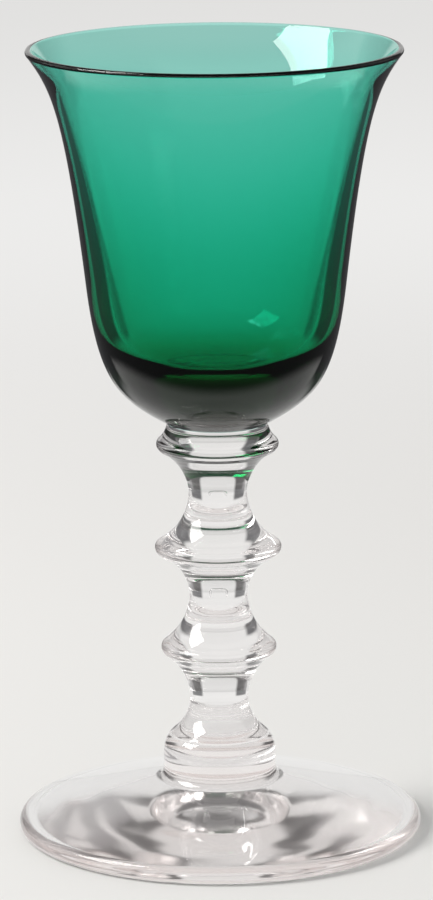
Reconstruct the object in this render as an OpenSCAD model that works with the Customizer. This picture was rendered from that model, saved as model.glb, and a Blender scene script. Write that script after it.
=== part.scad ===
// Cordial glass: a coloured bell bowl on a clear pressed stem of three knops, over a
// clear round foot. Each piece is a solid of revolution about Z, and the plane Z = 0 is
// the one that the foot rests on. Sizes are in millimetres and angles in degrees.

/* [Foot] */
// Outside diameter of the foot
foot_d = 52.1; // [44:0.1:70]
// Height of the foot from the table to the seat that the stem stands on
foot_h = 8.4; // [6.5:0.1:14]
// Thickness of the rounded edge of the foot
foot_edge_t = 2.4; // [1.6:0.1:3.2]
// Width of the flat ring under the edge that touches the table
ring_w = 1.6; // [0.8:0.1:4]
// Rise of the hollow under the middle of the foot
hollow_h = 1.3; // [0.6:0.1:3]
// Radius of the fillet that leads from the stem's seat to the top of the foot
collar_fillet_r = 1.6; // [0.8:0.1:3]

/* [Stem] */
// Diameter of the drum at the bottom of the stem
drum_d = 14.5; // [12:0.1:20]
// Height of the drum, from the foot's seat to the start of its shoulder
drum_h = 1.9; // [0.5:0.1:5]
// Radius of the shoulder over the drum
shoulder_r = 3.7; // [0.8:0.1:5]
// Diameter of the necks between the knops, where they are thinnest
neck_d = 7.5; // [5:0.1:9.5]
// Height of the hollow waist in the middle of each neck
waist_h = 1.3; // [0.4:0.1:3]
// Angle to the axis at which the waist runs into the flare towards a knop
flare_angle = 8; // [3:1:15]
// Diameter of the lower knop
lower_knop_d = 14.9; // [12:0.1:20]
// Diameter of the middle knop
middle_knop_d = 16.3; // [12:0.1:20]
// Diameter of the upper knop
upper_knop_d = 15.7; // [14:0.1:20]
// Radius of the rounded edge of the knops
knop_edge_r = 0.9; // [0.4:0.05:1.2]
// Rise from the drum's shoulder to the widest level of the lower knop
lower_rise = 13.9; // [11:0.1:20]
// Rise from the lower knop to the middle knop
middle_rise = 13.2; // [11:0.1:20]
// Rise from the middle knop to the upper knop
upper_rise = 13.6; // [11:0.1:20]
// Rise from the upper knop to the seat that carries the bowl
seat_rise = 2.75; // [2:0.05:4]
// Depth of the groove between the upper knop and the bowl
groove_depth = 1.4; // [0.8:0.1:3]

/* [Bowl] */
// Height of the straight edge round the bowl's seat
button_h = 0.1; // [0.1:0.05:1]
// Height of the bowl from its seat to the rim
bowl_h = 48.25; // [40:0.05:60]
// Outside diameter of the bowl at the rim
rim_d = 47.7; // [40:0.1:58]
// Thickness of the rounded lip
lip_t = 0.8; // [0.6:0.05:1.6]
// Angle at which the wall leans out where it meets the lip
lip_angle = 36; // [15:1:50]
// Outside diameter of the bowl where its round base runs into its side
side_d = 33.2; // [28:0.1:38]
// Height of that level above the seat
side_h = 18.25; // [14:0.05:24]
// Angle at which the outside leans out at that level
side_angle = 6.5; // [0:0.5:14]
// Angle at which the outside leaves the seat
base_angle = 61; // [45:1:72]
// Wall thickness at the side's lowest level
side_wall_t = 2.55; // [1.2:0.05:3.6]
// Angle at which the inside leans out at that level
inner_angle = 11; // [4:0.1:16]
// Thickness of the glass under the cavity
base_wall_t = 7.75; // [4:0.05:10]

/* [Hidden] */

// Clear glass and green glass
clear_glass = [0.86, 0.89, 0.89, 0.4];
green_glass = [0.02, 0.52, 0.36, 0.75];

// Turn covered by one straight step of an arc, and the fewest steps of an arc
arc_step = 5;
least_steps = 2;
// Steps across the hollow under the foot, in a free curve and in a full turn about Z
hollow_steps = 8;
curve_steps = 26;
turn_fn = 180;

// Levels of the joins and of the rim
stem_h = drum_h + lower_rise + middle_rise + upper_rise + seat_rise;
seat_z = foot_h + stem_h;
rim_z = seat_z + bowl_h;

// Knops from the drum upwards, each as [widest radius, level, edge radius]
drum_knop = [drum_d / 2, foot_h + drum_h, shoulder_r];
lower_knop = [lower_knop_d / 2, drum_knop[1] + lower_rise, knop_edge_r];
middle_knop = [middle_knop_d / 2, lower_knop[1] + middle_rise, knop_edge_r];
upper_knop = [upper_knop_d / 2, middle_knop[1] + upper_rise, knop_edge_r];
knops = [drum_knop, lower_knop, middle_knop, upper_knop];

// Diameter of the seat where the bowl is joined to the stem
seat_d = upper_knop_d - 2 * groove_depth;

// Level of a neck, as a share of the way down from one knop to the next
neck_level_share = 0.48;

// Radius of the waist's hollow arc, and radius of the neck at both ends of that arc
waist_r = waist_h / 2 / sin(flare_angle);
neck_end_r = neck_d / 2 + waist_r * (1 - cos(flare_angle));

// Handle lengths of the bowl's four curves, as shares of the line between their ends
outer_base_shares = [0.354, 0.604];
outer_side_shares = [0.733, 0.176];
inner_side_shares = [0.776, 0.275];
inner_base_shares = [0.56, 0.665];

// Width of the bevel inside the resting ring, as a share of the ring's width, and rise
// of the bevel, as a share of the bevel's own width
ring_bevel_share = 0.4;
bevel_rise_share = 0.5;

// Unit vector at an angle from the X axis
function unit(a) = [cos(a), sin(a)];

// Points of an arc about a centre from one angle to another, both ends included
function arc(c, r, from, to, least = least_steps) =
    let (n = max(least, ceil(abs(to - from) / arc_step)))
    [for (i = [0:n]) c + r * unit(from + (to - from) * i / n)];

// Point at t on the curve that its two ends and two handles draw
function curve_point(p, t) =
    pow(1 - t, 3) * p[0] + 3 * pow(1 - t, 2) * t * p[1]
    + 3 * (1 - t) * pow(t, 2) * p[2] + pow(t, 3) * p[3];

// Curve from one end to the other, leaving and arriving in the given directions, with
// handles that are shares of the line between the ends
function curve(from, leave, to, arrive, handle_shares) =
    let (
        span = norm(to - from),
        p = [
            from,
            from + span * handle_shares[0] * leave,
            to - span * handle_shares[1] * arrive,
            to
        ]
    )
    [for (i = [0:curve_steps]) curve_point(p, i / curve_steps)];

// Direction of an upward line that leans outwards by an angle
function lean(a) = [sin(a), cos(a)];

// Centre of a knop's rounded edge
function edge_centre(k) = [k[0] - k[2], k[1]];

// A flare is the hollow arc from a point on a neck to the rounded edge of a knop. It
// leaves the neck at an angle to the axis and touches the edge, which fixes its radius.
function flare_side(p, k) = k[1] > p[1] ? 1 : -1;
function flare_normal(p, k, a) = [cos(a), -flare_side(p, k) * sin(a)];
function flare_r(p, k, a) =
    let (d = p - edge_centre(k))
    (d * d - pow(k[2], 2)) / (2 * (k[2] - flare_normal(p, k, a) * d));
function flare_centre(p, k, a) = p + flare_r(p, k, a) * flare_normal(p, k, a);

// Angle on the knop's edge at which the flare touches it
function touch_angle(p, k, a) =
    let (d = flare_centre(p, k, a) - edge_centre(k))
    atan2(d[1], d[0]);

// Points of the flare from the neck to the knop
function flare(p, k, a) =
    let (
        c = flare_centre(p, k, a),
        start = atan2(p[1] - c[1], p[0] - c[0]),
        end = touch_angle(p, k, a) - 180 * flare_side(p, k)
    )
    arc(c, flare_r(p, k, a), start + (start < 0 ? 360 : 0), end + (end < 0 ? 360 : 0));

// A list of points in the other order
function reversed(points) = [for (i = [len(points) - 1:-1:0]) points[i]];

// Level of the middle of the neck over a knop
function neck_z(i) = knops[i + 1][1] - neck_level_share * (knops[i + 1][1] - knops[i][1]);

// Lower and upper end of that neck's waist, and the points of the hollow arc between them
function neck_foot(i) = [neck_end_r, neck_z(i) - waist_h / 2];
function neck_head(i) = [neck_end_r, neck_z(i) + waist_h / 2];
function neck_waist(i) =
    arc([neck_d / 2 + waist_r, neck_z(i)], waist_r, 180 + flare_angle, 180 - flare_angle);

// Outline of a knop's upper half and the neck over it, from the knop upwards
function over_knop(i) = reversed(flare(neck_foot(i), knops[i], flare_angle));

// Outline of the flare and rounded edge that lead from a neck up round the next knop
function round_knop(i, above) =
    let (p = neck_head(i), k = knops[i + 1])
    concat(
        flare(p, k, flare_angle),
        arc(edge_centre(k), k[2], touch_angle(p, k, flare_angle), above)
    );

// Angle at which the next flare up leaves a knop's edge
function leave_angle(i) =
    i < len(knops) - 1 ? touch_angle(neck_foot(i), knops[i], flare_angle)
    : touch_angle([seat_d / 2, seat_z], knops[i], flare_angle);

// Outline from one knop's edge over the neck and round the edge of the next knop
function knop_to_knop(i) = concat(over_knop(i), neck_waist(i), round_knop(i, leave_angle(i + 1)));

// Solid turned about Z from an outline in the half plane
module turned(outline) {
    rotate_extrude($fn = turn_fn) polygon(outline);
}

// Foot: edge bead, sloping top, collar fillet up to the seat, and a hollow underneath
module foot() {
    edge_r = foot_edge_t / 2;
    edge_c = [foot_d / 2 - edge_r, edge_r];
    fillet_c = [drum_d / 2 + collar_fillet_r, foot_h];
    // The top is the line that touches the edge from above and the fillet from below
    d = fillet_c - edge_c;
    top_angle = atan2(d[1], d[0]) - acos((edge_r + collar_fillet_r) / norm(d));
    ring_inner_r = edge_c[0] - ring_w;
    bevel_w = ring_w * ring_bevel_share;
    hollow_r = ring_inner_r - bevel_w;
    // Rise, radius and half angle of the shallow arc under the foot
    rise = hollow_h - bevel_w * bevel_rise_share;
    cap_r = (pow(hollow_r, 2) + pow(rise, 2)) / (2 * rise);
    cap_angle = asin(hollow_r / cap_r);
    color(clear_glass)
    turned(concat(
        arc([0, hollow_h - cap_r], cap_r, 90, 90 - cap_angle, hollow_steps),
        [[ring_inner_r, 0]],
        arc(edge_c, edge_r, -90, top_angle),
        arc(fillet_c, collar_fillet_r, top_angle + 180, 180),
        [[0, foot_h]]
    ));
}

// Stem: drum and shoulder, then a neck and a knop three times, then the bowl's seat
module stem() {
    color(clear_glass)
    turned(concat(
        [[0, foot_h], [drum_d / 2, foot_h]],
        arc(edge_centre(drum_knop), shoulder_r, 0, leave_angle(0)),
        [for (i = [0:len(knops) - 2]) each knop_to_knop(i)],
        reversed(flare([seat_d / 2, seat_z], upper_knop, flare_angle)),
        [[0, seat_z]]
    ));
}

// Bowl: seat, round heavy base, flaring side, rounded lip and the cavity inside
module bowl() {
    lip_r = lip_t / 2;
    lip_c = [rim_d / 2 - lip_r, rim_z - lip_r];
    side_z = seat_z + side_h;
    outer_side = [side_d / 2, side_z];
    inner_side = [side_d / 2 - side_wall_t, side_z];
    button = [seat_d / 2, seat_z + button_h];
    cavity = [0, seat_z + base_wall_t];
    color(green_glass)
    turned(concat(
        [[0, seat_z], [seat_d / 2, seat_z]],
        curve(button, lean(base_angle), outer_side, lean(side_angle), outer_base_shares),
        curve(
            outer_side, lean(side_angle), lip_c + lip_r * unit(-lip_angle),
            lean(lip_angle), outer_side_shares
        ),
        arc(lip_c, lip_r, -lip_angle, 180 - lip_angle),
        reversed(curve(
            inner_side, lean(inner_angle), lip_c - lip_r * unit(-lip_angle),
            lean(lip_angle), inner_side_shares
        )),
        curve(inner_side, -lean(inner_angle), cavity, [-1, 0], inner_base_shares)
    ));
}

foot();
stem();
bowl();
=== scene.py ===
"""Looks of the cordial glass: a green bell bowl on a clear knopped stem and a clear foot."""

import math

import bpy
import numpy as np
from bpy.props import FloatProperty, FloatVectorProperty, PointerProperty
from bpy.types import Operator, Panel, PropertyGroup
from mathutils import Matrix, Vector


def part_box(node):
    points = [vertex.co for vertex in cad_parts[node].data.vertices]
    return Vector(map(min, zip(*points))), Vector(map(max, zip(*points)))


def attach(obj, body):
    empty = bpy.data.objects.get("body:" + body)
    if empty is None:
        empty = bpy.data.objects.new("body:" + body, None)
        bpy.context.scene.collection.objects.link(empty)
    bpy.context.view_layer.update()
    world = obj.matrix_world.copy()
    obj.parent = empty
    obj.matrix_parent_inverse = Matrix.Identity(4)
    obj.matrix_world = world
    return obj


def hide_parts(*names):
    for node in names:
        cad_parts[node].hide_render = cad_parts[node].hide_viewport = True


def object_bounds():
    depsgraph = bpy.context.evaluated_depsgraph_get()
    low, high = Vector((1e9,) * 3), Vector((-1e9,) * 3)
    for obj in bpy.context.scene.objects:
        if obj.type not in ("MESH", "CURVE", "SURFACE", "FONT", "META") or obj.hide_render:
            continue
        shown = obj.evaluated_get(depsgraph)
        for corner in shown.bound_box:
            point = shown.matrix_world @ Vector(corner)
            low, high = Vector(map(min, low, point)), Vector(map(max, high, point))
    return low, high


bl_info = {
    "name": "Cordial Glass",
    "version": (1, 0, 0),
    "blender": (4, 5, 0),
    "location": "3D View > Sidebar > Glass",
    "description": "Builds a knopped cordial glass from its driving sizes",
    "category": "Object",
}

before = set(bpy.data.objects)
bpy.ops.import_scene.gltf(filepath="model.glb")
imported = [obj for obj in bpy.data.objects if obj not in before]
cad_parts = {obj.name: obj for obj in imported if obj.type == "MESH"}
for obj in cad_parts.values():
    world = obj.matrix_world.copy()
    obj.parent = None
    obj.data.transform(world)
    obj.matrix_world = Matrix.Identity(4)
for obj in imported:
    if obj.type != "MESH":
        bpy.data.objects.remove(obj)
CAD_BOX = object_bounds()
FOOT_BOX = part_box("foot")
STEM_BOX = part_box("stem")
BOWL_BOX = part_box("bowl")

MM = 0.001

# Steps of the meshes: turn of an arc that one edge covers, edges in a free curve, edges round
# the axis, edges along and round a bubble, and edges round the floor
ARC_STEP = math.radians(3)
CURVE_STEPS = 44
TURN_STEPS = 288
BUBBLE_STEPS = 48
BUBBLE_SIDES = 16
FLOOR_STEPS = 96

# Distance under which two places are one, and angle from which an edge is sharp
SAME_PLACE = 1e-9
SHARP_ANGLE = math.radians(30)

# Half of the gap that is left between two pieces where the real glass is fused, and the mark
# of the faces there
FUSED_GAP = 0.01 * MM
FUSED = "fused"

# Mark of the foot's matt underside, and how far over the hollow's middle it may reach
MATT = "matt"
MATT_DEPTH = 0.2 * MM

# Width of the bevel inside the resting ring, as a share of the ring's width, and its rise, as
# a share of its own width
RING_BEVEL_SHARE = 0.4
BEVEL_RISE_SHARE = 0.5

# Share of the hollow's radius over which its skin is uneven, and the waves there, each as its
# share of the height, its number round the axis, its turn outwards and its start
HOLLOW_SHARE = 0.95
WAVES = ((1.0, 2, 7, 0), (0.7, 3, -11, 1), (0.5, 5, 17, 2), (0.3, 9, -23, 4))

# Level of a neck, as a share of the way down from one knop to the next
NECK_LEVEL_SHARE = 0.48

# Depth of the crease on the drum's shoulder, as a share of its width
CREASE_DEPTH_SHARE = 0.5

# Heights of the bubbles in the middle and the upper neck, as shares of the taller one's, and
# the power that sets how bluntly they end
BUBBLE_SHARES = (1.0, 0.5)
BUBBLE_END_POWER = 8

# Handle lengths of the bowl's four curves, as shares of the line between their ends
OUTER_BASE_SHARES = (0.354, 0.604)
OUTER_SIDE_SHARES = (0.733, 0.176)
INNER_SIDE_SHARES = (0.776, 0.2)
INNER_BASE_SHARES = (0.56, 0.665)

# Height of the photograph in pixels, and the length of the camera's sensor that it fills, in
# the camera's millimetres
IMAGE_H = 900
SENSOR_W = 36

# Distances between which the camera sees
CLIP = (0.01, 50)

# Most times that a ray may bend or shine back
BOUNCES = 32


def across(box):
    """Width of a node's box along X."""
    return box[1].x - box[0].x


class FootSizes(PropertyGroup):
    """Sizes of the foot"""

    edge_t: FloatProperty(
        name="Edge thickness", description="Thickness of the rounded edge",
        default=2.4 * MM, unit="LENGTH",
    )
    ring_w: FloatProperty(
        name="Ring width", description="Width of the flat ring that touches the table",
        default=0.8 * MM, unit="LENGTH",
    )
    hollow_h: FloatProperty(
        name="Hollow rise", description="Rise of the hollow under the middle",
        default=1.3 * MM, unit="LENGTH",
    )
    fillet_r: FloatProperty(
        name="Collar fillet", description="Radius of the fillet up to the stem's seat",
        default=1.6 * MM, unit="LENGTH",
    )


class StemSizes(PropertyGroup):
    """Sizes of the stem"""

    drum_d: FloatProperty(
        name="Drum diameter", description="Diameter of the drum at the bottom",
        default=14.5 * MM, unit="LENGTH",
    )
    drum_h: FloatProperty(
        name="Drum height", description="Height of the drum under its shoulder",
        default=1.9 * MM, unit="LENGTH",
    )
    shoulder_r: FloatProperty(
        name="Shoulder radius", description="Radius of the shoulder over the drum",
        default=3.7 * MM, unit="LENGTH",
    )
    crease_angle: FloatProperty(
        name="Crease angle", description="Turn of the shoulder up to the crease round it",
        default=math.radians(40), subtype="ANGLE",
    )
    crease_w: FloatProperty(
        name="Crease width", description="Width of that crease",
        default=0.3 * MM, unit="LENGTH",
    )
    bubble_w: FloatProperty(
        name="Bubble width", description="Width of the staple-shaped bubbles in two necks",
        default=1.4 * MM, unit="LENGTH",
    )
    bubble_h: FloatProperty(
        name="Bubble height", description="Height of the taller of them",
        default=1.5 * MM, unit="LENGTH",
    )
    bubble_r: FloatProperty(
        name="Bubble radius", description="Radius of their round section",
        default=0.13 * MM, unit="LENGTH",
    )
    neck_d: FloatProperty(
        name="Neck diameter", description="Diameter of the necks between the knops",
        default=7.5 * MM, unit="LENGTH",
    )
    waist_h: FloatProperty(
        name="Waist height", description="Height of the hollow waist of each neck",
        default=1.3 * MM, unit="LENGTH",
    )
    flare_angle: FloatProperty(
        name="Flare angle", description="Angle at which a waist runs into a flare",
        default=math.radians(8), subtype="ANGLE",
    )
    lower_knop_d: FloatProperty(
        name="Lower knop", description="Diameter of the lower knop",
        default=14.9 * MM, unit="LENGTH",
    )
    middle_knop_d: FloatProperty(
        name="Middle knop", description="Diameter of the middle knop",
        default=across(STEM_BOX), unit="LENGTH",
    )
    upper_knop_d: FloatProperty(
        name="Upper knop", description="Diameter of the upper knop",
        default=15.7 * MM, unit="LENGTH",
    )
    knop_edge_r: FloatProperty(
        name="Knop edge", description="Radius of the rounded edge of the knops",
        default=0.9 * MM, unit="LENGTH",
    )
    middle_rise: FloatProperty(
        name="Middle rise", description="Rise from the lower knop to the middle knop",
        default=13.2 * MM, unit="LENGTH",
    )
    upper_rise: FloatProperty(
        name="Upper rise", description="Rise from the middle knop to the upper knop",
        default=13.6 * MM, unit="LENGTH",
    )
    seat_rise: FloatProperty(
        name="Seat rise", description="Rise from the upper knop to the bowl's seat",
        default=2.75 * MM, unit="LENGTH",
    )
    groove_depth: FloatProperty(
        name="Groove depth", description="Depth of the groove between upper knop and bowl",
        default=1.4 * MM, unit="LENGTH",
    )


class BowlSizes(PropertyGroup):
    """Sizes of the bowl"""

    button_h: FloatProperty(
        name="Seat edge", description="Height of the straight edge round the seat",
        default=0.1 * MM, unit="LENGTH",
    )
    lip_t: FloatProperty(
        name="Lip thickness", description="Thickness of the rounded lip",
        default=0.8 * MM, unit="LENGTH",
    )
    lip_angle: FloatProperty(
        name="Lip angle", description="Angle at which the wall leans out at the lip",
        default=math.radians(36), subtype="ANGLE",
    )
    side_d: FloatProperty(
        name="Side diameter", description="Outside diameter where the base meets the side",
        default=33.2 * MM, unit="LENGTH",
    )
    side_h: FloatProperty(
        name="Side level", description="Height of that level above the seat",
        default=18.25 * MM, unit="LENGTH",
    )
    side_angle: FloatProperty(
        name="Side angle", description="Angle at which the outside leans out there",
        default=math.radians(6.5), subtype="ANGLE",
    )
    base_angle: FloatProperty(
        name="Base angle", description="Angle at which the outside leaves the seat",
        default=math.radians(61), subtype="ANGLE",
    )
    wall_t: FloatProperty(
        name="Wall thickness", description="Thickness of the wall at the side's level",
        default=2.55 * MM, unit="LENGTH",
    )
    inner_angle: FloatProperty(
        name="Inner angle", description="Angle at which the inside leans out there",
        default=math.radians(11), subtype="ANGLE",
    )
    base_t: FloatProperty(
        name="Base thickness", description="Thickness of the glass under the cavity",
        default=7.75 * MM, unit="LENGTH",
    )


class GlassFinish(PropertyGroup):
    """Colours and finish of the two glasses"""

    ior: FloatProperty(
        name="IOR", description="Index of refraction of both glasses", default=1.5
    )
    green: FloatVectorProperty(
        name="Green glass", description="Colour that the green glass lets through",
        default=(0.0, 0.83, 0.709), subtype="COLOR", size=3,
    )
    green_density: FloatProperty(
        name="Green density", description="Absorption of the green glass per metre",
        default=1010.0,
    )
    clear: FloatVectorProperty(
        name="Clear glass", description="Colour that the clear glass lets through",
        default=(0.7, 0.36, 0.28), subtype="COLOR", size=3,
    )
    clear_density: FloatProperty(
        name="Clear density", description="Absorption of the clear glass per metre",
        default=3.0,
    )
    matt: FloatProperty(
        name="Underside", description="Roughness of the foot's underside", default=0.09
    )
    uneven_h: FloatProperty(
        name="Unevenness", description="Height of the slight waves of the foot's underside",
        default=0.1 * MM, unit="LENGTH",
    )


class StudioSetup(PropertyGroup):
    """Camera, floor, room and lamp"""

    distance: FloatProperty(
        name="Distance", description="Level distance from the axis to the camera",
        default=599.3 * MM, unit="LENGTH",
    )
    height: FloatProperty(
        name="Height", description="Height of the camera over the floor",
        default=185.5 * MM, unit="LENGTH",
    )
    target_z: FloatProperty(
        name="Target height", description="Height of the point that the camera is aimed at",
        default=50.1 * MM, unit="LENGTH",
    )
    offset_x: FloatProperty(
        name="Offset", description="Sideways shift of the camera and its target",
        default=-0.1186 * MM, unit="LENGTH",
    )
    roll: FloatProperty(
        name="Roll", description="Roll of the camera about its line of sight",
        default=-0.0077, subtype="ANGLE",
    )
    focal_px: FloatProperty(
        name="Focal length", description="Focal length in pixels of the photograph",
        default=4799.2,
    )
    floor_r: FloatProperty(
        name="Floor radius", description="Radius of the floor", default=6.0, unit="LENGTH"
    )
    floor_colour: FloatVectorProperty(
        name="Floor colour", description="Colour of the floor",
        default=(0.82, 0.81, 0.795), subtype="COLOR", size=3,
    )
    sky: FloatProperty(
        name="Room light", description="Strength of the even light of the room",
        default=0.55,
    )
    lamp_power: FloatProperty(
        name="Lamp power", description="Power of the softbox", default=7.0, unit="POWER"
    )
    lamp_colour: FloatVectorProperty(
        name="Lamp colour", description="Colour of the softbox",
        default=(1, 0.99, 0.97), subtype="COLOR", size=3,
    )
    lamp_azimuth: FloatProperty(
        name="Lamp azimuth", description="Turn of the softbox from the camera to the right",
        default=math.radians(-82), subtype="ANGLE",
    )
    lamp_elevation: FloatProperty(
        name="Lamp elevation", description="Angle of the softbox over the level",
        default=math.radians(42), subtype="ANGLE",
    )
    lamp_distance: FloatProperty(
        name="Lamp distance", description="Distance of the softbox from the glass",
        default=0.9, unit="LENGTH",
    )
    lamp_w: FloatProperty(
        name="Lamp width", description="Width of the softbox", default=0.45, unit="LENGTH"
    )
    lamp_h: FloatProperty(
        name="Lamp height", description="Height of the softbox", default=0.55, unit="LENGTH"
    )


def arc(centre, radius, start, end):
    """Points centre + radius (cos a, sin a) for a from start to end, both ends included."""
    steps = max(2, math.ceil(abs(end - start) / ARC_STEP))
    a = np.linspace(start, end, steps + 1)
    return np.asarray(centre) + radius * np.column_stack((np.cos(a), np.sin(a)))


def unit(angle):
    """Unit vector at an angle from the R axis."""
    return np.array((math.cos(angle), math.sin(angle)))


def lean(angle):
    """Direction of an upward line that leans outwards by an angle."""
    return np.array((math.sin(angle), math.cos(angle)))


def curve(start, leave, end, arrive, shares):
    """Cubic curve: (1-t)^3 p0 + 3(1-t)^2 t p1 + 3(1-t) t^2 p2 + t^3 p3, whose handles are shares
    of the line between its ends."""
    start, end = np.asarray(start, float), np.asarray(end, float)
    span = np.linalg.norm(end - start)
    p1 = start + span * shares[0] * leave
    p2 = end - span * shares[1] * arrive
    t = np.linspace(0, 1, CURVE_STEPS + 1)[:, None]
    s = 1 - t
    return s**3 * start + 3 * s**2 * t * p1 + 3 * s * t**2 * p2 + t**3 * end


def creased(centre, radius, end, at, width):
    """Arc from the angle 0 to end, with a sharp groove of a width at an angle."""
    half = width / radius / 2
    bottom = np.asarray(centre) + (radius - width * CREASE_DEPTH_SHARE) * unit(at)
    return np.vstack((
        arc(centre, radius, 0, at - half), bottom, arc(centre, radius, at + half, end)
    ))


class Flare:
    """Hollow arc from a point on a neck to the rounded edge of a knop. It leaves the neck at an
    angle to the axis and touches the edge's circle, which fixes its radius:
    R = (|d|^2 - e^2) / (2 (e - n.d)), with d from the edge's centre to the point, e the edge's
    radius and n the unit vector square to the arc at the point."""

    def __init__(self, point, knop, angle):
        self.point = np.asarray(point, float)
        centre, edge_r = edge_centre(knop), knop[2]
        self.side = 1 if knop[1] > self.point[1] else -1
        n = np.array((math.cos(angle), -self.side * math.sin(angle)))
        d = self.point - centre
        self.r = (d @ d - edge_r**2) / (2 * (edge_r - n @ d))
        self.centre = self.point + self.r * n
        to = self.centre - centre
        self.touch = math.atan2(to[1], to[0])

    def points(self):
        """Points from the neck to the knop."""
        start = math.atan2(*(self.point - self.centre)[::-1]) % math.tau
        end = (self.touch - math.pi * self.side) % math.tau
        return arc(self.centre, self.r, start, end)


def edge_centre(knop):
    """Centre of a knop's rounded edge. A knop is (widest radius, level, edge radius)."""
    return np.array((knop[0] - knop[2], knop[1]))


def outline(*stretches):
    """The stretches joined, without the points that two of them share."""
    points = np.vstack(stretches)
    step = np.linalg.norm(np.diff(points, axis=0), axis=1)
    return points[np.append(True, step > SAME_PLACE)]


def skin_faces(rings, sides):
    """Quads and triangles of a closed skin, whose points are those of the rings, each with as
    many as it has sides, and then the pole before the first ring and the one after the last."""
    here = np.arange(sides)
    there = np.roll(here, -1)
    base = np.arange(rings - 1)[:, None] * sides
    quads = np.stack(
        (base + here, base + there, base + sides + there, base + sides + here), axis=-1
    )
    pole = rings * sides
    last = pole - sides
    low = np.stack((np.full(sides, pole), there, here), axis=-1)
    high = np.stack((np.full(sides, pole + 1), last + here, last + there), axis=-1)
    return quads.reshape(-1, 4), np.vstack((low, high))


def bubble(z, width, height, radius):
    """Thin air bubble bent to a staple about the axis. Its path is x = w/2 sgn(cos a) |cos a|^(1/2)
    and z + h (sin a)^(1/2) for a from 0 to pi, and its round section at the share u of the path
    has the radius r (1 - |2u - 1|^p)^(1/2). Its skin faces inwards, away from the glass."""
    a = np.linspace(0, math.pi, BUBBLE_STEPS + 1)
    side = np.cos(a)
    x = width / 2 * np.sign(side) * np.sqrt(np.abs(side))
    up = z + height * np.sqrt(np.abs(np.sin(a)))
    along = np.stack((np.gradient(x), np.gradient(up)))
    along = (along / np.linalg.norm(along, axis=0))[:, 1:-1, None]
    r = radius * np.sqrt(1 - np.abs(2 * a / math.pi - 1) ** BUBBLE_END_POWER)
    turn = np.arange(BUBBLE_SIDES) * math.tau / BUBBLE_SIDES
    out, deep = r[1:-1, None] * np.cos(turn), r[1:-1, None] * np.sin(turn)
    rings = np.stack(
        (x[1:-1, None] - along[1] * out, deep, up[1:-1, None] + along[0] * out), axis=-1
    )
    verts = np.vstack((rings.reshape(-1, 3), (x[0], 0, up[0]), (x[-1], 0, up[-1])))
    return verts, *skin_faces(len(rings), BUBBLE_SIDES)


def mark_faces(mesh, name, faces, chosen):
    """Gives each face whose points are all chosen a mark of 1, and the others 0."""
    values = np.concatenate([chosen[group].all(axis=1) for group in faces])
    mark = mesh.attributes.new(name, "FLOAT", "FACE")
    mark.data.foreach_set("value", values.astype(np.float32))


def lathe(name, points, fused_z, rise, matt_r=0, bubbles=()):
    """Closed mesh turned about Z: the point (r, z) of the outline at the turn t lies at
    (r cos t, r sin t, z + w), where w = rise(t, r, z) is a slight unevenness. The outline runs
    from the axis below to the axis above, whose two points are the poles. A face whose points
    all lie at a level of fused_z is marked as fused, and the underside within matt_r as matt.
    The bubbles, each as its points, quads and triangles, become part of the mesh."""
    t = np.arange(TURN_STEPS) * math.tau / TURN_STEPS
    ring = points[1:-1]
    r, z = ring[:, :1], ring[:, 1:]
    x, y = r * np.cos(t), r * np.sin(t)
    skin = np.stack((x, y, z + rise(t, r, z)), axis=-1).reshape(-1, 3)
    below, above = (0, 0, points[0, 1]), (0, 0, points[-1, 1])
    verts = np.vstack((skin, below, above))
    quads, tris = skin_faces(len(ring), TURN_STEPS)
    for more_verts, more_quads, more_tris in bubbles:
        quads = np.vstack((quads, more_quads + len(verts)))
        tris = np.vstack((tris, more_tris + len(verts)))
        verts = np.vstack((verts, more_verts))
    mesh = bpy.data.meshes.new(name)
    mesh.vertices.add(len(verts))
    mesh.vertices.foreach_set("co", verts.ravel())
    corners = np.concatenate((quads.ravel(), tris.ravel()))
    sizes = np.concatenate((np.full(len(quads), 4), np.full(len(tris), 3)))
    mesh.loops.add(len(corners))
    mesh.loops.foreach_set("vertex_index", corners)
    mesh.polygons.add(len(sizes))
    mesh.polygons.foreach_set("loop_start", np.cumsum(sizes) - sizes)
    mesh.update(calc_edges=True)
    mesh.validate()
    mesh.polygons.foreach_set("use_smooth", np.ones(len(sizes), bool))
    mesh.set_sharp_from_angle(angle=SHARP_ANGLE)
    level = verts[:, 2]
    on_seat = (np.abs(level[:, None] - fused_z) < SAME_PLACE).any(axis=1)
    mark_faces(mesh, FUSED, (quads, tris), on_seat)
    if matt_r:
        reach = np.hypot(verts[:, 0], verts[:, 1])
        under = (reach < matt_r) & (level < points[0, 1] + MATT_DEPTH)
        mark_faces(mesh, MATT, (quads, tris), under)
    piece = bpy.data.objects.new(name, mesh)
    bpy.context.scene.collection.objects.link(piece)
    return piece


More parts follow.
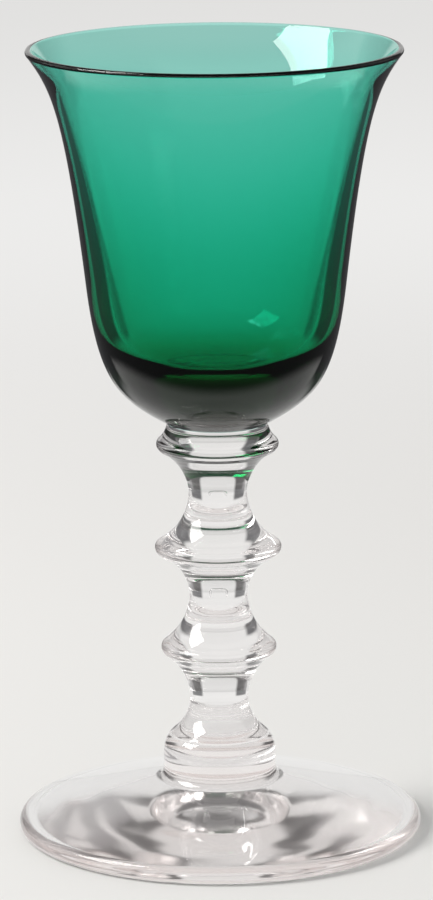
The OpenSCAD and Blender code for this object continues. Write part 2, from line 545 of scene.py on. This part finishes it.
def glass(name, finish, colour, density, matt=0):
    """Glass that bends light at its skin and takes light in its depth. At the fused faces the
    index is 1, because light meets no surface there. Its matt faces have the roughness matt."""
    material = bpy.data.materials.new(name)
    material.use_nodes = True
    tree = material.node_tree
    skin = tree.nodes["Principled BSDF"]
    skin.inputs["Base Color"].default_value = (1, 1, 1, 1)
    skin.inputs["Roughness"].default_value = 0.0
    skin.inputs["Transmission Weight"].default_value = 1.0
    skin.inputs["IOR"].default_value = finish.ior
    mark = tree.nodes.new("ShaderNodeAttribute")
    mark.attribute_name = FUSED
    index = tree.nodes.new("ShaderNodeMapRange")
    index.inputs["To Min"].default_value = finish.ior
    index.inputs["To Max"].default_value = 1.0
    tree.links.new(mark.outputs["Fac"], index.inputs["Value"])
    tree.links.new(index.outputs["Result"], skin.inputs["IOR"])
    if matt:
        under = tree.nodes.new("ShaderNodeAttribute")
        under.attribute_name = MATT
        roughness = add_math(tree, "MULTIPLY", under.outputs["Fac"], matt)
        tree.links.new(roughness, skin.inputs["Roughness"])
    depth = tree.nodes.new("ShaderNodeVolumeAbsorption")
    depth.inputs["Color"].default_value = (*colour, 1)
    depth.inputs["Density"].default_value = density
    out = tree.nodes["Material Output"]
    tree.links.new(depth.outputs["Volume"], out.inputs["Volume"])
    return material


def still(t, r, z):
    """No unevenness."""
    return np.zeros(np.broadcast(t, r).shape)


def uneven(reach, height, top):
    """Rise of the skin under a level: height s(1 - s) times the sum of a cos(nt + ks + c) over
    the waves (a, n, k, c), with s = (r / reach)^2 up to 1."""
    def rise(t, r, z):
        s = np.minimum((r / reach) ** 2, 1)
        waves = sum(a * np.cos(n * t + k * s + c) for a, n, k, c in WAVES)
        return height * s * (1 - s) * waves * (z < top)
    return rise


def knops_of(sizes):
    """The drum and the three knops from below, each as (widest radius, level, edge radius)."""
    foot_top = FOOT_BOX[1].z
    upper = STEM_BOX[1].z - sizes.seat_rise
    middle = upper - sizes.upper_rise
    lower = middle - sizes.middle_rise
    edge = sizes.knop_edge_r
    return [
        (sizes.drum_d / 2, foot_top + sizes.drum_h, sizes.shoulder_r),
        (sizes.lower_knop_d / 2, lower, edge),
        (sizes.middle_knop_d / 2, middle, edge),
        (sizes.upper_knop_d / 2, upper, edge),
    ]


def neck_levels(knops):
    """Levels of the necks between the drum and the knops."""
    return [
        high[1] - NECK_LEVEL_SHARE * (high[1] - low[1]) for low, high in zip(knops, knops[1:])
    ]


def seat_r(sizes):
    """Radius of the seat that joins the bowl and the stem."""
    return sizes.upper_knop_d / 2 - sizes.groove_depth


def foot_outline(sizes, drum_d):
    """Hollow, resting ring, rounded edge, sloping top, collar fillet and seat."""
    edge_r = sizes.edge_t / 2
    top_z = FOOT_BOX[1].z
    edge_c = np.array((across(FOOT_BOX) / 2 - edge_r, edge_r))
    fillet_c = np.array((drum_d / 2 + sizes.fillet_r, top_z))
    d = fillet_c - edge_c
    top_angle = math.atan2(d[1], d[0]) - math.acos(
        (edge_r + sizes.fillet_r) / np.linalg.norm(d)
    )
    ring_inner_r = edge_c[0] - sizes.ring_w
    bevel_w = sizes.ring_w * RING_BEVEL_SHARE
    hollow_r = ring_inner_r - bevel_w
    rise = sizes.hollow_h - bevel_w * BEVEL_RISE_SHARE
    cap_r = (hollow_r**2 + rise**2) / (2 * rise)
    t = np.linspace(0, math.asin(hollow_r / cap_r), CURVE_STEPS)[:, None]
    cap = np.array((0, sizes.hollow_h - cap_r)) + cap_r * np.hstack((np.sin(t), np.cos(t)))
    return outline(
        cap,
        [(ring_inner_r, 0)],
        arc(edge_c, edge_r, -math.pi / 2, top_angle),
        arc(fillet_c, sizes.fillet_r, top_angle + math.pi, math.pi)[:-1],
        [(drum_d / 2, top_z - FUSED_GAP), (0, top_z - FUSED_GAP)],
    )


def stem_outline(sizes):
    """Drum and shoulder, three necks and knops, and the bowl's seat."""
    knops = knops_of(sizes)
    foot_top, seat_z = FOOT_BOX[1].z + FUSED_GAP, STEM_BOX[1].z
    last = Flare((seat_r(sizes), seat_z), knops[-1], sizes.flare_angle)
    angle, half = sizes.flare_angle, sizes.waist_h / 2
    waist_r = half / math.sin(angle)
    necks = []
    for low, high, z in zip(knops, knops[1:], neck_levels(knops)):
        r = sizes.neck_d / 2 + waist_r * (1 - math.cos(angle))
        waist = arc(
            (sizes.neck_d / 2 + waist_r, z), waist_r, math.pi + angle, math.pi - angle
        )
        necks.append((
            Flare((r, z - half), low, angle), waist, Flare((r, z + half), high, angle)
        ))
    leave = [down.touch for down, waist, up in necks] + [last.touch]
    stretches = [
        [(0, foot_top), (sizes.drum_d / 2, foot_top)],
        creased(
            edge_centre(knops[0]), sizes.shoulder_r, leave[0], sizes.crease_angle, sizes.crease_w
        ),
    ]
    for knop, (down, waist, up), above in zip(knops[1:], necks, leave[1:]):
        stretches += [
            down.points()[::-1], waist, up.points(),
            arc(edge_centre(knop), sizes.knop_edge_r, up.touch, above),
        ]
    stretches += [
        last.points()[::-1][:-1],
        [(seat_r(sizes), seat_z - FUSED_GAP), (0, seat_z - FUSED_GAP)],
    ]
    return outline(*stretches)


def bowl_outline(sizes, button_r):
    """Seat, round base, flaring side, rounded lip and the cavity inside."""
    lip_r = sizes.lip_t / 2
    seat_z, rim_z = BOWL_BOX[0].z, BOWL_BOX[1].z
    lip_c = np.array((across(BOWL_BOX) / 2 - lip_r, rim_z - lip_r))
    side_z = seat_z + sizes.side_h
    outer_side = np.array((sizes.side_d / 2, side_z))
    inner_side = outer_side - (sizes.wall_t, 0)
    button = (button_r, seat_z + sizes.button_h)
    cavity = (0, seat_z + sizes.base_t)
    low = seat_z + FUSED_GAP
    lip, side = lean(sizes.lip_angle), lean(sizes.side_angle)
    inner = lean(sizes.inner_angle)
    return outline(
        [(0, low), (button_r, low)],
        curve(button, lean(sizes.base_angle), outer_side, side, OUTER_BASE_SHARES),
        curve(outer_side, side, lip_c + lip_r * unit(-sizes.lip_angle), lip, OUTER_SIDE_SHARES),
        arc(lip_c, lip_r, -sizes.lip_angle, math.pi - sizes.lip_angle),
        curve(
            inner_side, inner, lip_c - lip_r * unit(-sizes.lip_angle), lip, INNER_SIDE_SHARES
        )[::-1],
        curve(inner_side, -inner, cavity, np.array((-1, 0)), INNER_BASE_SHARES),
    )


def settle(piece, material, node):
    """Gives a piece its material and its place in the frame."""
    piece.data.materials.append(material)
    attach(piece, "root")
    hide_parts(node)


class OBJECT_OT_glass_foot(Operator):
    """Builds the clear foot"""

    bl_idname = "object.glass_foot"
    bl_label = "Foot"

    def execute(self, context):
        scene = context.scene
        sizes, finish = scene.foot_sizes, scene.glass_finish
        points = foot_outline(sizes, scene.stem_sizes.drum_d)
        hollow_r = across(FOOT_BOX) / 2 - sizes.edge_t / 2 - sizes.ring_w
        top = points[0, 1] + MATT_DEPTH
        rise = uneven(hollow_r * HOLLOW_SHARE, finish.uneven_h, top)
        piece = lathe("foot_skin", points, [points[-1, 1]], rise, hollow_r)
        settle(
            piece, glass("foot_glass", finish, finish.clear, finish.clear_density, finish.matt),
            "foot",
        )
        return {"FINISHED"}


class OBJECT_OT_glass_stem(Operator):
    """Builds the clear knopped stem"""

    bl_idname = "object.glass_stem"
    bl_label = "Stem"

    def execute(self, context):
        sizes, finish = context.scene.stem_sizes, context.scene.glass_finish
        points = stem_outline(sizes)
        bubbles = [
            bubble(z, sizes.bubble_w, sizes.bubble_h * share, sizes.bubble_r)
            for z, share in zip(neck_levels(knops_of(sizes))[1:], BUBBLE_SHARES)
        ]
        seats = [points[0, 1], points[-1, 1]]
        piece = lathe("stem_skin", points, seats, still, bubbles=bubbles)
        settle(
            piece, glass("stem_glass", finish, finish.clear, finish.clear_density),
            "stem",
        )
        return {"FINISHED"}


class OBJECT_OT_glass_bowl(Operator):
    """Builds the green bell bowl"""

    bl_idname = "object.glass_bowl"
    bl_label = "Bowl"

    def execute(self, context):
        scene = context.scene
        finish = scene.glass_finish
        points = bowl_outline(scene.bowl_sizes, seat_r(scene.stem_sizes))
        piece = lathe("bowl_skin", points, [points[0, 1]], still)
        settle(
            piece, glass("bowl_glass", finish, finish.green, finish.green_density),
            "bowl",
        )
        return {"FINISHED"}


def add_math(tree, operation, *values):
    """A Math node on sockets or numbers. Returns its output."""
    node = tree.nodes.new("ShaderNodeMath")
    node.operation = operation
    for socket, value in zip(node.inputs, values):
        if isinstance(value, (int, float)):
            socket.default_value = value
        else:
            tree.links.new(value, socket)
    return node.outputs[0]


def add_ramp(tree, value, start, end, low=0.0, high=1.0):
    """A smooth step from low to high as the value goes from start to end."""
    node = tree.nodes.new("ShaderNodeMapRange")
    node.interpolation_type = "SMOOTHSTEP"
    tree.links.new(value, node.inputs["Value"])
    for name, number in (
        ("From Min", start), ("From Max", end), ("To Min", low), ("To Max", high)
    ):
        node.inputs[name].default_value = number
    return node.outputs["Result"]


def add_axes(tree, space):
    """X, Y and Z of an output of Texture Coordinate."""
    place = tree.nodes.new("ShaderNodeTexCoord")
    axes = tree.nodes.new("ShaderNodeSeparateXYZ")
    tree.links.new(place.outputs[space], axes.inputs[0])
    return axes.outputs


def add_length(tree, x, y):
    """Length of the level vector (x, y)."""
    squares = [add_math(tree, "MULTIPLY", axis, axis) for axis in (x, y)]
    return add_math(tree, "SQRT", add_math(tree, "ADD", *squares))


def add_bearing(tree, x, y):
    """Angle of the level vector (x, y) from the line of sight, the same to either side."""
    return add_math(tree, "ARCTAN2", add_math(tree, "ABSOLUTE", x), y)


def add_mix(tree, factor, first, second):
    """A colour mix of two sockets or colours."""
    node = tree.nodes.new("ShaderNodeMix")
    node.data_type = "RGBA"
    tree.links.new(factor, node.inputs["Factor"])
    for name, value in (("A", first), ("B", second)):
        socket = [s for s in node.inputs if s.name == name and s.type == "RGBA"][0]
        if hasattr(value, "is_linked"):
            tree.links.new(value, socket)
        else:
            socket.default_value = (*value, 1)
    return [s for s in node.outputs if s.type == "RGBA"][0]


# Roughness and gloss of the floor, its level, and the radii of its inner rings
FLOOR_ROUGHNESS = 0.6
FLOOR_GLOSS = 0.2
FLOOR_Z = -2 * FUSED_GAP
FLOOR_RINGS = (0.1, 0.4, 1.2)

# Bearings, from the line of sight and to either side, between which the room is dark and the
# floor is painted dark for what glass shows, and how softly the lit sheets end there
DARK_FROM = math.radians(24)
DARK_TO = math.radians(53)
SHEET_SOFT = math.radians(3)

# Distances from the axis between which the lit floor, as glass shows it, gives way to the sheets
# and the painted dark between them, and between which the floor's own shading gives way to the
# backdrop's colour
NEAR_R = (0.08, 0.12)
FADE_R = (0.12, 0.5)

# What only shines back from glass shows the floor painted dark, a painted reflection, except in a
# round behind the axis, where it keeps its lit colour: the place of its middle along the line of
# sight, and the radii over which it ends. A sector behind it keeps its lit colour too: where it
# starts along the line of sight, and the bearings at which it ends.
SHINE_Y = 0.07
SHINE_R = (0.1, 0.125)
SHINE_BACK = (0.04, 0.08)
SHINE_SIDE = (math.radians(8), math.radians(14))

# Heights over the horizon, as sines, between which the lit sheets end
SHEET_TOP = (0.5, 0.75)

# Colours of the backdrop near and far, seen plainly and through glass, with the distances from
# the axis over which they change
PALE = (0.86, 0.855, 0.845)
FAR_PALE = (0.76, 0.755, 0.745)
FAR_R = (0.35, 0.85)
GLASS_FAR_PALE = (0.70, 0.695, 0.685)
GLASS_FAR_R = (0.25, 0.6)

# Share of the backdrop's even colour in what glass shows of the floor close by, where the lit
# floor lies in the shadow of the glass
GLASS_GLOW = 0.85

# Colours of what is between the sheets: the floor painted dark, as glass shows it, and the dark
# room above it, and of the part of it that is further to the side, with the sines over which that
# starts
FLOOR_PAINTED_DARK = (0.15, 0.15, 0.155)
ROOM_DARK = (0.10, 0.095, 0.095)
ROOM_DUSK = (0.28, 0.27, 0.275)
DUSK_X = (0.62, 0.72)

# Colours of the dim right side of the room, with the sines over which it starts, and of what is
# over the sheets
ROOM_RIGHT = (0.35, 0.345, 0.35)
RIGHT_X = (0.5, 0.7)
ROOM_OVER = (0.17, 0.165, 0.165)

# Colours, for what only shines back from glass, of the floor outside that round and sector,
# painted dark as a painted reflection, and of what is over the sheets
FLOOR_SHINE_PAINTED_DARK = (0.1, 0.1, 0.105)
ROOM_SHINE = (0.08, 0.08, 0.08)


def beside_sheet(tree, x, y):
    """0 in front of a lit sheet and 1 between the one behind and those on the two sides."""
    bearing = add_bearing(tree, x, y)
    start = add_ramp(tree, bearing, DARK_FROM - SHEET_SOFT, DARK_FROM + SHEET_SOFT)
    end = add_ramp(tree, bearing, DARK_TO - SHEET_SOFT, DARK_TO + SHEET_SOFT, 1.0, 0.0)
    return add_math(tree, "MULTIPLY", start, end)


def seen_in_glass(tree, path):
    """1 for a ray that has met glass or a gloss, then 1 for one that only shines back from its
    skin, by a Light Path node. A ray through smooth glass counts as glossy too."""
    glossy, through = path.outputs["Is Glossy Ray"], path.outputs["Is Transmission Ray"]
    in_glass = add_math(tree, "MAXIMUM", glossy, through)
    return in_glass, add_math(tree, "GREATER_THAN", glossy, through)


def floor_material(studio):
    """Pale matt floor. Away from the glass it fades to the even backdrop. What glass shows of it is
    painted dim between the lit sheets, a painted shade, and, where it only shines back, painted
    dim all round but behind, a painted dark reflection."""
    material = bpy.data.materials.new("floor")
    material.use_nodes = True
    tree = material.node_tree
    skin = tree.nodes["Principled BSDF"]
    x, y = add_axes(tree, "Object")[:2]
    away = add_length(tree, x, y)
    in_glass, shine = seen_in_glass(tree, tree.nodes.new("ShaderNodeLightPath"))
    # beside: where glass shows the floor painted dark between the lit sheets, a painted shade
    beside = add_math(tree, "MULTIPLY", add_ramp(tree, away, *NEAR_R), beside_sheet(tree, x, y))
    from_shine = add_length(tree, x, add_math(tree, "SUBTRACT", y, SHINE_Y))
    behind = add_math(
        tree, "MULTIPLY", add_ramp(tree, y, *SHINE_BACK),
        add_ramp(tree, add_bearing(tree, x, y), *SHINE_SIDE, 1.0, 0.0),
    )
    # around: where reflections in glass show the floor painted dark, all but the round and the
    # sector behind
    around = add_math(
        tree, "MULTIPLY", add_ramp(tree, from_shine, *SHINE_R),
        add_math(tree, "SUBTRACT", 1.0, behind),
    )
    # dim: how far the floor's colour is painted dark for what glass shows
    dim = add_math(
        tree, "MAXIMUM", add_math(tree, "MULTIPLY", beside, in_glass),
        add_math(tree, "MULTIPLY", around, shine),
    )
    # Painted dark that glass shows in place of the lit floor
    painted_dark = add_mix(tree, shine, FLOOR_PAINTED_DARK, FLOOR_SHINE_PAINTED_DARK)
    colour = add_mix(tree, dim, studio.floor_colour, painted_dark)
    tree.links.new(colour, skin.inputs["Base Color"])
    skin.inputs["Roughness"].default_value = FLOOR_ROUGHNESS
    skin.inputs["Specular IOR Level"].default_value = FLOOR_GLOSS
    glow = tree.nodes.new("ShaderNodeEmission")
    plain = add_mix(tree, add_ramp(tree, away, *FAR_R), PALE, FAR_PALE)
    bent = add_mix(tree, add_ramp(tree, away, *GLASS_FAR_R), PALE, GLASS_FAR_PALE)
    backdrop = add_mix(tree, in_glass, plain, bent)
    tree.links.new(add_mix(tree, dim, backdrop, painted_dark), glow.inputs["Color"])
    mix = tree.nodes.new("ShaderNodeMixShader")
    even = add_math(
        tree, "MAXIMUM", add_ramp(tree, away, *FADE_R),
        add_math(tree, "MULTIPLY", in_glass, GLASS_GLOW),
    )
    tree.links.new(even, mix.inputs["Fac"])
    tree.links.new(skin.outputs[0], mix.inputs[1])
    tree.links.new(glow.outputs[0], mix.inputs[2])
    tree.links.new(mix.outputs[0], tree.nodes["Material Output"].inputs["Surface"])
    return material


def add_floor(studio):
    """Disc of rings about Z, in the plane that the glass stands on."""
    radii = np.array((*FLOOR_RINGS, studio.floor_r))
    t = np.arange(FLOOR_STEPS) * math.tau / FLOOR_STEPS
    x, y = radii[:, None] * np.cos(t), radii[:, None] * np.sin(t)
    rings = np.stack((x, y, np.full_like(x, FLOOR_Z)), axis=-1).reshape(-1, 3)
    verts = np.vstack((rings, (0, 0, FLOOR_Z)))
    here = np.arange(FLOOR_STEPS)
    there = np.roll(here, -1)
    base = np.arange(len(FLOOR_RINGS))[:, None] * FLOOR_STEPS
    outer = base + FLOOR_STEPS
    quads = np.stack((base + here, outer + here, outer + there, base + there), axis=-1)
    middle = np.stack((np.full(FLOOR_STEPS, len(rings)), here, there), axis=-1)
    mesh = bpy.data.meshes.new("floor")
    mesh.from_pydata(verts, [], quads.reshape(-1, 4).tolist() + middle.tolist())
    floor = bpy.data.objects.new("floor", mesh)
    bpy.context.scene.collection.objects.link(floor)
    mesh.materials.append(floor_material(studio))


def add_world(studio):
    """Even room light. The camera sees a pale backdrop, and glass sees lit sheets with a dim
    room between them."""
    world = bpy.data.worlds.new("studio")
    world.use_nodes = True
    tree = world.node_tree
    back = tree.nodes["Background"]
    x, y, z = add_axes(tree, "Generated")
    path = tree.nodes.new("ShaderNodeLightPath")
    in_glass, shine = seen_in_glass(tree, path)
    lit = add_mix(tree, add_ramp(tree, x, *RIGHT_X), FAR_PALE, ROOM_RIGHT)
    aside = add_ramp(tree, add_math(tree, "ABSOLUTE", x), *DUSK_X)
    unlit = add_mix(tree, aside, ROOM_DARK, ROOM_DUSK)
    around = add_mix(tree, beside_sheet(tree, x, y), lit, unlit)
    above = add_mix(tree, shine, ROOM_OVER, ROOM_SHINE)
    shown = add_mix(tree, add_ramp(tree, z, *SHEET_TOP), around, above)
    room = (studio.sky, studio.sky, studio.sky)
    plain = add_mix(tree, path.outputs["Is Camera Ray"], room, FAR_PALE)
    tree.links.new(add_mix(tree, in_glass, plain, shown), back.inputs["Color"])
    bpy.context.scene.world = world


def add_softbox(studio):
    """Area lamp that faces the middle of the glass."""
    a, e = studio.lamp_azimuth, studio.lamp_elevation
    way = Vector((math.sin(a) * math.cos(e), -math.cos(a) * math.cos(e), math.sin(e)))
    lamp = bpy.data.lights.new("key", "AREA")
    lamp.shape = "RECTANGLE"
    lamp.size, lamp.size_y = studio.lamp_w, studio.lamp_h
    lamp.energy = studio.lamp_power
    lamp.color = studio.lamp_colour
    box = bpy.data.objects.new("key", lamp)
    box.location = Vector((0, 0, CAD_BOX[1].z / 2)) + way * studio.lamp_distance
    box.rotation_mode = "QUATERNION"
    box.rotation_quaternion = way.to_track_quat("Z", "Y")
    bpy.context.scene.collection.objects.link(box)


def add_camera(studio):
    """Camera at the photograph's viewing angle, with its lens from the focal length in pixels."""
    data = bpy.data.cameras.new("camera")
    data.sensor_width = SENSOR_W
    data.lens = studio.focal_px * SENSOR_W / IMAGE_H
    data.clip_start, data.clip_end = CLIP
    eye = Vector((studio.offset_x, -studio.distance, studio.height))
    target = Vector((studio.offset_x, 0, studio.target_z))
    camera = bpy.data.objects.new("camera", data)
    turn = (target - eye).to_track_quat("-Z", "Y").to_matrix() @ Matrix.Rotation(
        studio.roll, 3, "Z"
    )
    camera.matrix_world = Matrix.Translation(eye) @ turn.to_4x4()
    bpy.context.scene.collection.objects.link(camera)
    bpy.context.scene.camera = camera


class OBJECT_OT_glass_studio(Operator):
    """Builds the camera, the floor, the room and the lamp"""

    bl_idname = "object.glass_studio"
    bl_label = "Studio"

    def execute(self, context):
        scene = context.scene
        studio = scene.studio_setup
        add_camera(studio)
        add_floor(studio)
        add_world(studio)
        add_softbox(studio)
        scene.view_settings.view_transform = "Standard"
        scene.cycles.max_bounces = BOUNCES
        scene.cycles.glossy_bounces = BOUNCES
        scene.cycles.transmission_bounces = BOUNCES
        return {"FINISHED"}


class VIEW3D_PT_cordial_glass(Panel):
    """Lists the operators and the sizes"""

    bl_label = "Cordial Glass"
    bl_space_type = "VIEW_3D"
    bl_region_type = "UI"
    bl_category = "Glass"

    def draw(self, context):
        layout = self.layout
        for operator in OPERATORS:
            layout.operator(operator.bl_idname)
        for group in GROUPS:
            column = layout.column(align=True)
            settings = getattr(context.scene, group)
            for name in settings.__annotations__:
                column.prop(settings, name)


OPERATORS = (
    OBJECT_OT_glass_foot, OBJECT_OT_glass_stem, OBJECT_OT_glass_bowl, OBJECT_OT_glass_studio
)
GROUPS = {
    "foot_sizes": FootSizes, "stem_sizes": StemSizes, "bowl_sizes": BowlSizes,
    "glass_finish": GlassFinish, "studio_setup": StudioSetup,
}


def register():
    for cls in (*GROUPS.values(), *OPERATORS, VIEW3D_PT_cordial_glass):
        bpy.utils.register_class(cls)
    for name, group in GROUPS.items():
        setattr(bpy.types.Scene, name, PointerProperty(type=group))


def unregister():
    for name in GROUPS:
        delattr(bpy.types.Scene, name)
    for cls in (VIEW3D_PT_cordial_glass, *reversed(OPERATORS), *GROUPS.values()):
        bpy.utils.unregister_class(cls)


def main():
    register()
    bpy.ops.object.glass_foot()
    bpy.ops.object.glass_stem()
    bpy.ops.object.glass_bowl()
    bpy.ops.object.glass_studio()


if __name__ == "__main__":
    main()
